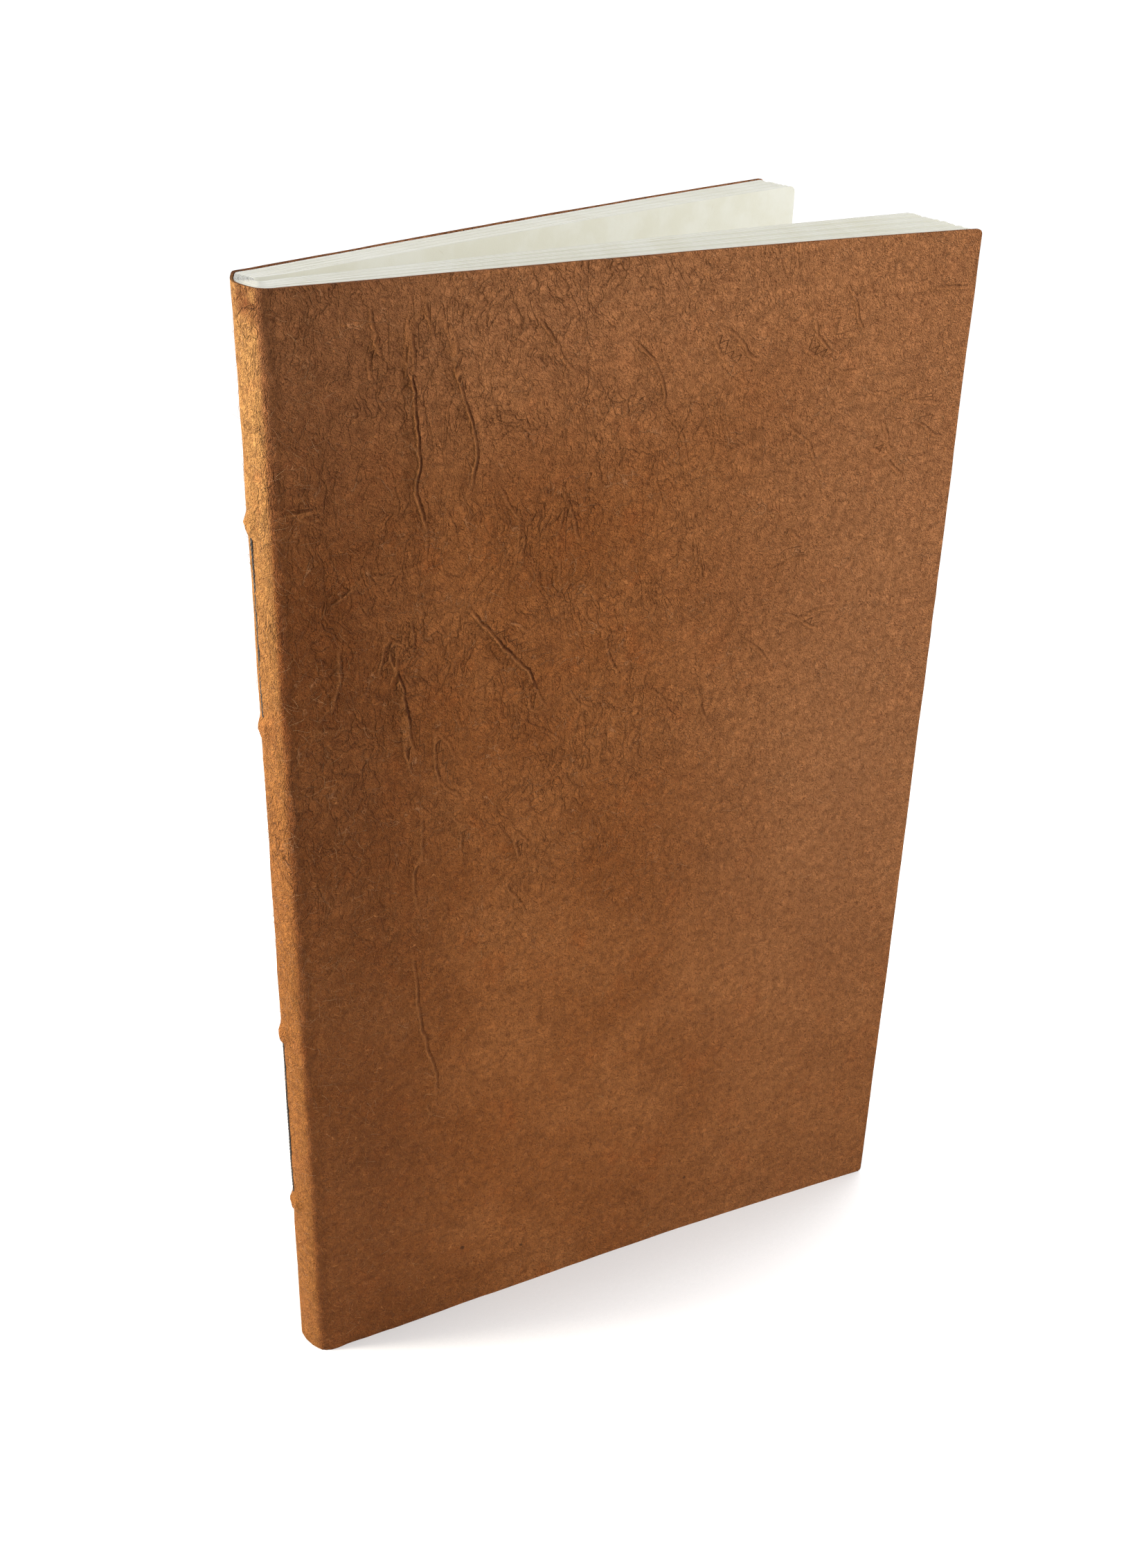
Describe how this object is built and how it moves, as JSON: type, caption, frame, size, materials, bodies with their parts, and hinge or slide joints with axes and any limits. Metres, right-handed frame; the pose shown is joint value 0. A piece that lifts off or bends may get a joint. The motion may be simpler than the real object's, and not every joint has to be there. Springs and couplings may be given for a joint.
{
  "type": "pocket notebook",
  "caption": "Limp-covered pocket notebook of folded sheets sewn through the spine fold, standing on its tail with its covers partly open.",
  "frame": {"origin": "middle of the standing book's footprint, on the surface that it stands on", "axes": "+Z from tail to head, +X from the spine to the fore-edge along the front cover, +Y from the front cover to the back cover"},
  "size_m": [0.0896, 0.0376, 0.14],
  "materials": {
    "cover": "felted, creased brown handmade paper",
    "pages": "matte off-white handmade paper with fibre specks",
    "thread": "dark twisted linen thread"
  },
  "bodies": {
    "spine": {"cover_spine": "cover", "sheet_01_fold": "pages", "sheet_02_fold": "pages", "sheet_03_fold": "pages", "sheet_04_fold": "pages", "sheet_05_fold": "pages", "sheet_06_fold": "pages", "sheet_07_fold": "pages", "sheet_08_fold": "pages", "sheet_09_fold": "pages", "sheet_10_fold": "pages", "sheet_11_fold": "pages", "sheet_12_fold": "pages", "sheet_13_fold": "pages", "sheet_14_fold": "pages", "sheet_15_fold": "pages", "sheet_16_fold": "pages", "sewing_thread": "thread"},
    "front_cover": {"front_cover": "cover"},
    "back_cover": {"back_cover": "cover"},
    "sheet_01_front": {"sheet_01_front_leaf": "pages"},
    "sheet_02_front": {"sheet_02_front_leaf": "pages"},
    "sheet_03_front": {"sheet_03_front_leaf": "pages"},
    "sheet_04_front": {"sheet_04_front_leaf": "pages"},
    "sheet_05_front": {"sheet_05_front_leaf": "pages"},
    "sheet_06_front": {"sheet_06_front_leaf": "pages"},
    "sheet_07_front": {"sheet_07_front_leaf": "pages"},
    "sheet_08_front": {"sheet_08_front_leaf": "pages"},
    "sheet_09_front": {"sheet_09_front_leaf": "pages"},
    "sheet_10_front": {"sheet_10_front_leaf": "pages"},
    "sheet_11_front": {"sheet_11_front_leaf": "pages"},
    "sheet_12_front": {"sheet_12_front_leaf": "pages"},
    "sheet_13_front": {"sheet_13_front_leaf": "pages"},
    "sheet_14_front": {"sheet_14_front_leaf": "pages"},
    "sheet_15_front": {"sheet_15_front_leaf": "pages"},
    "sheet_16_front": {"sheet_16_front_leaf": "pages"},
    "sheet_01_back": {"sheet_01_back_leaf": "pages"},
    "sheet_02_back": {"sheet_02_back_leaf": "pages"},
    "sheet_03_back": {"sheet_03_back_leaf": "pages"},
    "sheet_04_back": {"sheet_04_back_leaf": "pages"},
    "sheet_05_back": {"sheet_05_back_leaf": "pages"},
    "sheet_06_back": {"sheet_06_back_leaf": "pages"},
    "sheet_07_back": {"sheet_07_back_leaf": "pages"},
    "sheet_08_back": {"sheet_08_back_leaf": "pages"},
    "sheet_09_back": {"sheet_09_back_leaf": "pages"},
    "sheet_10_back": {"sheet_10_back_leaf": "pages"},
    "sheet_11_back": {"sheet_11_back_leaf": "pages"},
    "sheet_12_back": {"sheet_12_back_leaf": "pages"},
    "sheet_13_back": {"sheet_13_back_leaf": "pages"},
    "sheet_14_back": {"sheet_14_back_leaf": "pages"},
    "sheet_15_back": {"sheet_15_back_leaf": "pages"},
    "sheet_16_back": {"sheet_16_back_leaf": "pages"}
  },
  "joints": [
    {"name": "front_cover_hinge", "type": "hinge", "parent": "spine", "child": "front_cover", "pos_m": [-0.03862, -0.01851, 0], "axis": [0, 0, -1], "range_deg": [-10, 80]},
    {"name": "back_cover_hinge", "type": "hinge", "parent": "spine", "child": "back_cover", "pos_m": [-0.04014, -0.0099, 0], "axis": [0, 0, 1], "range_deg": [-10, 80]},
    {"name": "sheet_01_front_bend", "type": "hinge", "parent": "spine", "child": "sheet_01_front", "pos_m": [-0.03579, -0.01446, 0], "axis": [0, 0, -1], "range_deg": [-4.9, 39.2]},
    {"name": "sheet_02_front_bend", "type": "hinge", "parent": "spine", "child": "sheet_02_front", "pos_m": [-0.03596, -0.0147, 0], "axis": [0, 0, -1], "range_deg": [-5.13, 41.05]},
    {"name": "sheet_03_front_bend", "type": "hinge", "parent": "spine", "child": "sheet_03_front", "pos_m": [-0.03613, -0.01495, 0], "axis": [0, 0, -1], "range_deg": [-5.36, 42.91]},
    {"name": "sheet_04_front_bend", "type": "hinge", "parent": "spine", "child": "sheet_04_front", "pos_m": [-0.0363, -0.01519, 0], "axis": [0, 0, -1], "range_deg": [-5.6, 44.76]},
    {"name": "sheet_05_front_bend", "type": "hinge", "parent": "spine", "child": "sheet_05_front", "pos_m": [-0.03647, -0.01543, 0], "axis": [0, 0, -1], "range_deg": [-6.29, 50.33]},
    {"name": "sheet_06_front_bend", "type": "hinge", "parent": "spine", "child": "sheet_06_front", "pos_m": [-0.03664, -0.01568, 0], "axis": [0, 0, -1], "range_deg": [-6.52, 52.18]},
    {"name": "sheet_07_front_bend", "type": "hinge", "parent": "spine", "child": "sheet_07_front", "pos_m": [-0.03681, -0.01592, 0], "axis": [0, 0, -1], "range_deg": [-6.75, 54.04]},
    {"name": "sheet_08_front_bend", "type": "hinge", "parent": "spine", "child": "sheet_08_front", "pos_m": [-0.03698, -0.01616, 0], "axis": [0, 0, -1], "range_deg": [-6.99, 55.89]},
    {"name": "sheet_09_front_bend", "type": "hinge", "parent": "spine", "child": "sheet_09_front", "pos_m": [-0.03715, -0.0164, 0], "axis": [0, 0, -1], "range_deg": [-7.68, 61.45]},
    {"name": "sheet_10_front_bend", "type": "hinge", "parent": "spine", "child": "sheet_10_front", "pos_m": [-0.03732, -0.01665, 0], "axis": [0, 0, -1], "range_deg": [-7.91, 63.31]},
    {"name": "sheet_11_front_bend", "type": "hinge", "parent": "spine", "child": "sheet_11_front", "pos_m": [-0.03749, -0.01689, 0], "axis": [0, 0, -1], "range_deg": [-8.15, 65.16]},
    {"name": "sheet_12_front_bend", "type": "hinge", "parent": "spine", "child": "sheet_12_front", "pos_m": [-0.03766, -0.01713, 0], "axis": [0, 0, -1], "range_deg": [-8.38, 67.02]},
    {"name": "sheet_13_front_bend", "type": "hinge", "parent": "spine", "child": "sheet_13_front", "pos_m": [-0.03783, -0.01738, 0], "axis": [0, 0, -1], "range_deg": [-9.07, 72.58]},
    {"name": "sheet_14_front_bend", "type": "hinge", "parent": "spine", "child": "sheet_14_front", "pos_m": [-0.038, -0.01762, 0], "axis": [0, 0, -1], "range_deg": [-9.3, 74.44]},
    {"name": "sheet_15_front_bend", "type": "hinge", "parent": "spine", "child": "sheet_15_front", "pos_m": [-0.03817, -0.01786, 0], "axis": [0, 0, -1], "range_deg": [-9.54, 76.29]},
    {"name": "sheet_16_front_bend", "type": "hinge", "parent": "spine", "child": "sheet_16_front", "pos_m": [-0.03834, -0.01811, 0], "axis": [0, 0, -1], "range_deg": [-9.77, 78.15]},
    {"name": "sheet_01_back_bend", "type": "hinge", "parent": "spine", "child": "sheet_01_back", "pos_m": [-0.03609, -0.01274, 0], "axis": [0, 0, 1], "range_deg": [-8.7, 69.6]},
    {"name": "sheet_02_back_bend", "type": "hinge", "parent": "spine", "child": "sheet_02_back", "pos_m": [-0.03633, -0.01256, 0], "axis": [0, 0, 1], "range_deg": [-8.76, 70.07]},
    {"name": "sheet_03_back_bend", "type": "hinge", "parent": "spine", "child": "sheet_03_back", "pos_m": [-0.03658, -0.01239, 0], "axis": [0, 0, 1], "range_deg": [-8.82, 70.55]},
    {"name": "sheet_04_back_bend", "type": "hinge", "parent": "spine", "child": "sheet_04_back", "pos_m": [-0.03682, -0.01222, 0], "axis": [0, 0, 1], "range_deg": [-8.88, 71.02]},
    {"name": "sheet_05_back_bend", "type": "hinge", "parent": "spine", "child": "sheet_05_back", "pos_m": [-0.03706, -0.01205, 0], "axis": [0, 0, 1], "range_deg": [-9.05, 72.44]},
    {"name": "sheet_06_back_bend", "type": "hinge", "parent": "spine", "child": "sheet_06_back", "pos_m": [-0.03731, -0.01188, 0], "axis": [0, 0, 1], "range_deg": [-9.11, 72.91]},
    {"name": "sheet_07_back_bend", "type": "hinge", "parent": "spine", "child": "sheet_07_back", "pos_m": [-0.03755, -0.01171, 0], "axis": [0, 0, 1], "range_deg": [-9.17, 73.38]},
    {"name": "sheet_08_back_bend", "type": "hinge", "parent": "spine", "child": "sheet_08_back", "pos_m": [-0.03779, -0.01154, 0], "axis": [0, 0, 1], "range_deg": [-9.23, 73.85]},
    {"name": "sheet_09_back_bend", "type": "hinge", "parent": "spine", "child": "sheet_09_back", "pos_m": [-0.03804, -0.01137, 0], "axis": [0, 0, 1], "range_deg": [-9.41, 75.27]},
    {"name": "sheet_10_back_bend", "type": "hinge", "parent": "spine", "child": "sheet_10_back", "pos_m": [-0.03828, -0.0112, 0], "axis": [0, 0, 1], "range_deg": [-9.47, 75.75]},
    {"name": "sheet_11_back_bend", "type": "hinge", "parent": "spine", "child": "sheet_11_back", "pos_m": [-0.03852, -0.01103, 0], "axis": [0, 0, 1], "range_deg": [-9.53, 76.22]},
    {"name": "sheet_12_back_bend", "type": "hinge", "parent": "spine", "child": "sheet_12_back", "pos_m": [-0.03877, -0.01086, 0], "axis": [0, 0, 1], "range_deg": [-9.59, 76.69]},
    {"name": "sheet_13_back_bend", "type": "hinge", "parent": "spine", "child": "sheet_13_back", "pos_m": [-0.03901, -0.01069, 0], "axis": [0, 0, 1], "range_deg": [-9.76, 78.11]},
    {"name": "sheet_14_back_bend", "type": "hinge", "parent": "spine", "child": "sheet_14_back", "pos_m": [-0.03925, -0.01052, 0], "axis": [0, 0, 1], "range_deg": [-9.82, 78.58]},
    {"name": "sheet_15_back_bend", "type": "hinge", "parent": "spine", "child": "sheet_15_back", "pos_m": [-0.0395, -0.01035, 0], "axis": [0, 0, 1], "range_deg": [-9.88, 79.05]},
    {"name": "sheet_16_back_bend", "type": "hinge", "parent": "spine", "child": "sheet_16_back", "pos_m": [-0.03974, -0.01018, 0], "axis": [0, 0, 1], "range_deg": [-9.94, 79.53]}
  ],
  "couplings": [
    {"joint": "sheet_01_front_bend", "follows": "front_cover_hinge", "ratio": 0.49},
    {"joint": "sheet_02_front_bend", "follows": "front_cover_hinge", "ratio": 0.51318},
    {"joint": "sheet_03_front_bend", "follows": "front_cover_hinge", "ratio": 0.53636},
    {"joint": "sheet_04_front_bend", "follows": "front_cover_hinge", "ratio": 0.55955},
    {"joint": "sheet_05_front_bend", "follows": "front_cover_hinge", "ratio": 0.62909},
    {"joint": "sheet_06_front_bend", "follows": "front_cover_hinge", "ratio": 0.65227},
    {"joint": "sheet_07_front_bend", "follows": "front_cover_hinge", "ratio": 0.67545},
    {"joint": "sheet_08_front_bend", "follows": "front_cover_hinge", "ratio": 0.69864},
    {"joint": "sheet_09_front_bend", "follows": "front_cover_hinge", "ratio": 0.76818},
    {"joint": "sheet_10_front_bend", "follows": "front_cover_hinge", "ratio": 0.79136},
    {"joint": "sheet_11_front_bend", "follows": "front_cover_hinge", "ratio": 0.81455},
    {"joint": "sheet_12_front_bend", "follows": "front_cover_hinge", "ratio": 0.83773},
    {"joint": "sheet_13_front_bend", "follows": "front_cover_hinge", "ratio": 0.90727},
    {"joint": "sheet_14_front_bend", "follows": "front_cover_hinge", "ratio": 0.93045},
    {"joint": "sheet_15_front_bend", "follows": "front_cover_hinge", "ratio": 0.95364},
    {"joint": "sheet_16_front_bend", "follows": "front_cover_hinge", "ratio": 0.97682},
    {"joint": "sheet_01_back_bend", "follows": "back_cover_hinge", "ratio": 0.87},
    {"joint": "sheet_02_back_bend", "follows": "back_cover_hinge", "ratio": 0.87591},
    {"joint": "sheet_03_back_bend", "follows": "back_cover_hinge", "ratio": 0.88182},
    {"joint": "sheet_04_back_bend", "follows": "back_cover_hinge", "ratio": 0.88773},
    {"joint": "sheet_05_back_bend", "follows": "back_cover_hinge", "ratio": 0.90545},
    {"joint": "sheet_06_back_bend", "follows": "back_cover_hinge", "ratio": 0.91136},
    {"joint": "sheet_07_back_bend", "follows": "back_cover_hinge", "ratio": 0.91727},
    {"joint": "sheet_08_back_bend", "follows": "back_cover_hinge", "ratio": 0.92318},
    {"joint": "sheet_09_back_bend", "follows": "back_cover_hinge", "ratio": 0.94091},
    {"joint": "sheet_10_back_bend", "follows": "back_cover_hinge", "ratio": 0.94682},
    {"joint": "sheet_11_back_bend", "follows": "back_cover_hinge", "ratio": 0.95273},
    {"joint": "sheet_12_back_bend", "follows": "back_cover_hinge", "ratio": 0.95864},
    {"joint": "sheet_13_back_bend", "follows": "back_cover_hinge", "ratio": 0.97636},
    {"joint": "sheet_14_back_bend", "follows": "back_cover_hinge", "ratio": 0.98227},
    {"joint": "sheet_15_back_bend", "follows": "back_cover_hinge", "ratio": 0.98818},
    {"joint": "sheet_16_back_bend", "follows": "back_cover_hinge", "ratio": 0.99409}
  ]
}
